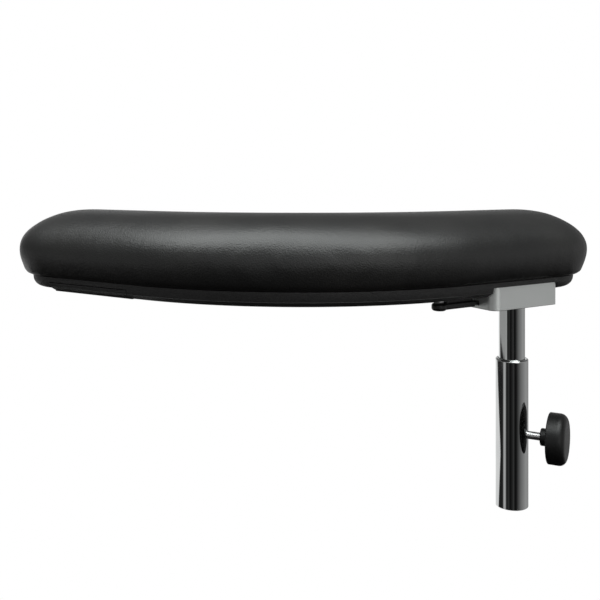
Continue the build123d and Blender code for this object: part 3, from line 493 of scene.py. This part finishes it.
def swell(obj, pinned_below, cap):
    """Blow the cover up against its seam line with Cloth, and hold each point within cap of its start."""
    start = [vertex.co.copy() for vertex in obj.data.vertices]
    pinned = obj.vertex_groups.new(name="pinned")
    pinned.add([i for i, point in enumerate(start) if point.z < pinned_below], 1.0, "REPLACE")
    cloth = obj.modifiers.new("cloth", "CLOTH")
    cloth.settings.use_pressure = True
    cloth.settings.uniform_pressure_force = SWELL_PRESSURE
    cloth.settings.effector_weights.gravity = 0.0
    cloth.settings.vertex_group_mass = "pinned"
    cloth.point_cache.frame_start = 1
    cloth.point_cache.frame_end = SWELL_FRAMES
    for step in range(1, SWELL_FRAMES + 1):
        bpy.context.scene.frame_set(step)
    apply_modifiers(obj)
    bpy.context.scene.frame_set(1)
    for vertex, point in zip(obj.data.vertices, start):
        move = vertex.co - point
        if move.length > cap:
            vertex.co = point + move * (cap / move.length)
    obj.vertex_groups.clear()


def subdivide(obj):
    modifier = obj.modifiers.new("subdivide", "SUBSURF")
    modifier.levels = 1
    modifier.render_levels = 1
    apply_modifiers(obj)


def make_pad():
    """Coated cover, cut wider and lower than it ends: swelling draws its sides in and lifts its crown."""
    pad = closed_arm("pad_upholstery", pad_section(-SIDE_DRAW, PAD_HEIGHT - CROWN_LIFT))
    remesh(pad)
    swell(pad, SEAM_Z + PINNED_HEIGHT, SWELL_CAP)
    even_out(pad, SMOOTH_ROUNDS, SEAM_Z + SMOOTH_ABOVE)
    droop_ends(pad, END_DROOP)
    subdivide(pad)
    for polygon in pad.data.polygons:
        polygon.use_smooth = True
    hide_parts("pad_cover")
    dress(pad, "black_upholstery", "support_arm")


def make_foam():
    """Moulded foam under the cover, hollow below where the base board lies."""
    board_low, board_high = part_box("base_board")
    board_edge = APEX_Y - board_low.y + 0.0004
    section = [point for point in pad_section(FOAM_GAP, PAD_HEIGHT) if point[1] > SEAM_Z + FOAM_GAP]
    lip = [(board_edge * share, board_high.z + 0.0002) for share in (0.06, 0.5, 1.0)]
    lip.append((board_edge, SEAM_Z + FOAM_GAP))
    foam = closed_arm("foam_block", lip + section)
    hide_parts("foam_core")
    dress(foam, "foam", "support_arm")


# ---------------------------------------------------------------- studio
# Rings of (bearing in degrees from +X towards +Y, brightness): below the horizon, and just above it.
STUDIO_RING = (
    (-180, 0.018), (-168, 0.018), (-160, 0.45), (-150, 0.50), (-143, 0.05), (-137, 0.005), (-129, 0.038),
    (-114, 0.005), (-99, 0.022), (-92, 0.05), (-86, 0.018), (-79, 0.005), (-71, 0.012), (-64, 0.04),
    (-56, 0.08), (-38, 0.18), (-5, 0.31), (11, 0.37), (26, 0.32), (50, 0.32), (66, 0.40),
    (80, 1.2), (108, 1.2), (126, 0.80), (132, 0.42), (140, 0.12), (150, 0.03), (166, 0.018), (180, 0.018),
)
UPPER_RING = (
    (-180, 0.05), (-155, 0.12), (-125, 0.50), (-95, 0.55), (-82, 0.75), (-74, 1.8), (-56, 1.8), (-46, 0.42),
    (-20, 0.42), (50, 0.28), (66, 0.36), (80, 1.0), (108, 1.0), (126, 0.6), (140, 0.12), (180, 0.05),
)

CEILING_GREY = 0.12
FLOOR_GREY = 0.01
SWEEP_GREY = 0.85
CARD_GREY = 0.36
LIGHT_OFFSET = Vector((-0.08, -0.28, 0.95))
LIGHT_WIDTH = 2.0
LIGHT_DEPTH = 0.9
LIGHT_POWER = 27.5
CAMERA_DISTANCE = 0.5183
CAMERA_RISE = 0.0276


def bearing_ramp(nodes, bearing, stops):
    """Brightness round the horizon from (degrees, brightness) stops."""
    return nodes.ramp(nodes.span(bearing, -math.pi, math.pi, 0.0, 1.0),
                      [((degrees + 180) / 360, brightness) for degrees, brightness in stops])


def studio_world():
    """Soft studio seen in the gloss: white sweep behind, dark front, pale card at the left, dark floor."""
    world = bpy.data.worlds.new("studio")
    bpy.context.scene.world = world
    world.use_nodes = True
    nodes = Nodes(world.node_tree)
    direction = nodes.add("ShaderNodeTexCoord").outputs["Generated"]
    split = nodes.add("ShaderNodeSeparateXYZ")
    nodes.link(direction, split.inputs["Vector"])
    bearing = nodes.math("ARCTAN2", split.outputs["Y"], split.outputs["X"])
    ring = bearing_ramp(nodes, bearing, STUDIO_RING)
    up = split.outputs["Z"]
    room = white_sweep(nodes, ring, bearing, up)
    room = left_card(nodes, room, bearing, up)
    low_room = nodes.span(up, -0.13, -0.03, 0.0, 1.0, smooth=True)
    above = nodes.span(up, 0.08, 0.42, 0.0, 1.0, smooth=True)
    below = nodes.span(up, -0.52, -0.38, 1.0, 0.0, smooth=True)
    room = nodes.mix_colour(low_room, room, bearing_ramp(nodes, bearing, UPPER_RING))
    room = nodes.mix_colour(above, room, grey(CEILING_GREY))
    room = nodes.mix_colour(below, room, grey(FLOOR_GREY))
    lit = nodes.add("ShaderNodeBackground")
    nodes.link(room, lit.inputs["Color"])
    plain = nodes.add("ShaderNodeBackground")
    plain.inputs["Color"].default_value = (1, 1, 1, 1)
    seen = nodes.add("ShaderNodeLightPath").outputs["Is Camera Ray"]
    mix = nodes.add("ShaderNodeMixShader")
    nodes.link(seen, mix.inputs["Fac"])
    nodes.link(lit.outputs["Background"], mix.inputs[1])
    nodes.link(plain.outputs["Background"], mix.inputs[2])
    output = nodes.add("ShaderNodeOutputWorld")
    nodes.link(mix.outputs["Shader"], output.inputs["Surface"])


def white_sweep(nodes, room, bearing, up):
    """The sweep's left edge bulges round to the side below the horizon."""
    bulge = nodes.span(nodes.math("ABSOLUTE", nodes.math("ADD", up, 0.32)), 0.0, 0.13, math.radians(46), 0.0)
    edge = nodes.math("ADD", bulge, math.radians(129))
    inside = nodes.span(nodes.math("SUBTRACT", edge, bearing), 0.0, math.radians(6), 0.0, 1.0)
    behind = nodes.span(bearing, math.radians(108), math.radians(118), 0.0, 1.0)
    return nodes.mix_colour(nodes.math("MULTIPLY", inside, behind), room, grey(SWEEP_GREY))


def left_card(nodes, room, bearing, up):
    """Pale card far left, seen only near the horizon."""
    turned = nodes.math("MODULO", nodes.math("ADD", bearing, 2 * math.pi), 2 * math.pi)
    start = nodes.span(turned, math.radians(126), math.radians(134), 0.0, 1.0)
    stop = nodes.span(turned, math.radians(204), math.radians(211), 1.0, 0.0)
    floor = nodes.span(turned, math.radians(142), math.radians(184), -0.197, -0.222)
    high = nodes.span(nodes.math("SUBTRACT", up, floor), 0.0, 0.008, 0.0, 1.0)
    share = nodes.math("MULTIPLY", nodes.math("MULTIPLY", start, stop), high)
    return nodes.mix_colour(share, room, grey(CARD_GREY))


def overhead_light():
    """Softbox over the front of the pad, aimed at its middle."""
    light = bpy.data.lights.new("overhead", "AREA")
    light.shape = "RECTANGLE"
    light.size = LIGHT_WIDTH
    light.size_y = LIGHT_DEPTH
    light.energy = LIGHT_POWER
    light.color = (0.96, 1.0, 0.99)
    obj = bpy.data.objects.new("overhead", light)
    bpy.context.scene.collection.objects.link(obj)
    middle = Vector((MIDDLE_X, APEX_Y, SEAM_Z))
    position = middle + LIGHT_OFFSET
    obj.location = position
    obj.rotation_euler = (middle - position).to_track_quat("-Z", "Y").to_euler()


def make_camera():
    """Level view from just above the pad's crest, looking along +Y."""
    camera = bpy.data.cameras.new("camera")
    camera.lens = 48.0
    camera.sensor_width = 36.0
    camera.shift_x = -0.0055
    camera.shift_y = -0.21
    camera.clip_end = 50.0
    obj = bpy.data.objects.new("camera", camera)
    bpy.context.scene.collection.objects.link(obj)
    obj.location = (MIDDLE_X, PAD_LOW.y - CAMERA_DISTANCE, PAD_HIGH.z + CAMERA_RISE)
    obj.rotation_euler = (math.radians(90), 0, 0)
    bpy.context.scene.camera = obj


# ---------------------------------------------------------------- make everything
make_camera()
finish_cad_nodes()
make_pad()
make_foam()
studio_world()
overhead_light()
bpy.context.scene.view_settings.view_transform = "Standard"
